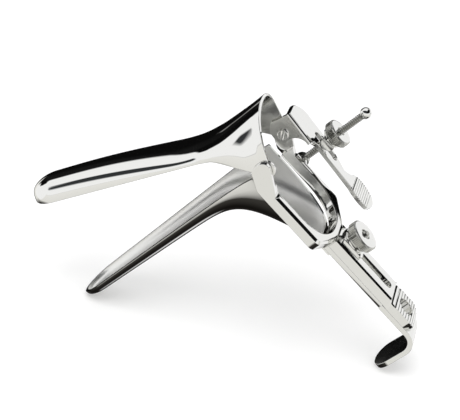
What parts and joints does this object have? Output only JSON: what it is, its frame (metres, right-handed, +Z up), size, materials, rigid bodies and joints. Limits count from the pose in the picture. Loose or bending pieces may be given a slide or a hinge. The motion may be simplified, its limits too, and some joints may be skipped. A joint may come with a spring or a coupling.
{
  "type": "bivalve speculum",
  "caption": "Polished steel bivalve speculum with narrow pressed blades on a forked frame, thumb lever with knurled stop nut, and a slotted handle with a knurled clamp and finger hook.",
  "frame": {"origin": "centre of the bounding box on the table that the instrument stands on, on the lower blade's tip and the finger hook", "axes": "+Z up from the table, +X from the finger hook to the blade tips, +Y to the side opposite the thumb lever, along the pivot line"},
  "size_m": [0.1456, 0.045, 0.0946],
  "materials": {
    "blade_steel": "stainless steel sheet, pressed and mirror polished",
    "handle_steel": "stainless steel bar, milled and mirror polished",
    "frame_steel": "stainless steel, forged and mirror polished",
    "lever_steel": "stainless steel plate, bent and polished",
    "washer_steel": "turned stainless steel, satin",
    "screw_steel": "turned and threaded stainless steel",
    "knurled_steel": "turned and knurled stainless steel"
  },
  "bodies": {
    "lower_frame": {"lower_blade": "blade_steel", "handle_bar": "handle_steel", "clamp_stud": "screw_steel"},
    "clamp_plate": {"clamp_washer": "washer_steel", "clamp_ring": "washer_steel"},
    "clamp_knob": {"clamp_nut": "knurled_steel"},
    "sliding_frame": {"yoke": "frame_steel", "yoke_stem": "handle_steel", "left_pivot_screw": "screw_steel", "right_pivot_screw": "screw_steel", "swivel_pin": "screw_steel"},
    "upper_valve": {"upper_blade": "blade_steel", "thumb_lever": "lever_steel"},
    "stop_rod": {"adjusting_screw": "screw_steel", "stop_ball": "washer_steel"},
    "saddle": {"lever_saddle": "washer_steel", "stop_ring": "washer_steel"},
    "stop_knob": {"adjusting_nut": "knurled_steel"}
  },
  "joints": [
    {"name": "frame_slide", "type": "slide", "parent": "lower_frame", "child": "sliding_frame", "axis": [0.7808, 0, 0.6248], "range_m": [0, 0.0194]},
    {"name": "blade_tilt", "type": "hinge", "parent": "sliding_frame", "child": "upper_valve", "pos_m": [-0.01174, 0.00466, 0.07585], "axis": [0, 1, 0], "range_deg": [-3, 24]},
    {"name": "rod_swing", "type": "hinge", "parent": "sliding_frame", "child": "stop_rod", "pos_m": [-0.01906, 0.00466, 0.06307], "axis": [0, 1, 0], "range_deg": [-0.7, 0.7]},
    {"name": "saddle_travel", "type": "slide", "parent": "stop_rod", "child": "saddle", "axis": [-0.6248, 0, 0.7808], "range_m": [-0.00085, 0.0066]},
    {"name": "stop_nut_turn", "type": "hinge", "parent": "saddle", "child": "stop_knob", "pos_m": [-0.02993, -0.01664, 0.07666], "axis": [-0.6248, 0, 0.7808], "range_deg": [-400, 3000]},
    {"name": "clamp_travel", "type": "slide", "parent": "lower_frame", "child": "clamp_plate", "axis": [-0.6248, 0, 0.7808], "range_m": [0, 0.0011]},
    {"name": "clamp_nut_turn", "type": "hinge", "parent": "clamp_plate", "child": "clamp_knob", "pos_m": [-0.04562, 0.00466, 0.04873], "axis": [-0.6248, 0, 0.7808], "range_deg": [0, 500]}
  ],
  "couplings": [
    {"joint": "saddle_travel", "follows": "blade_tilt", "m_per_rad": 0.01545},
    {"joint": "stop_nut_turn", "follows": "blade_tilt", "ratio": 121.34},
    {"joint": "clamp_nut_turn", "follows": "clamp_travel", "rad_per_m": 7854}
  ]
}
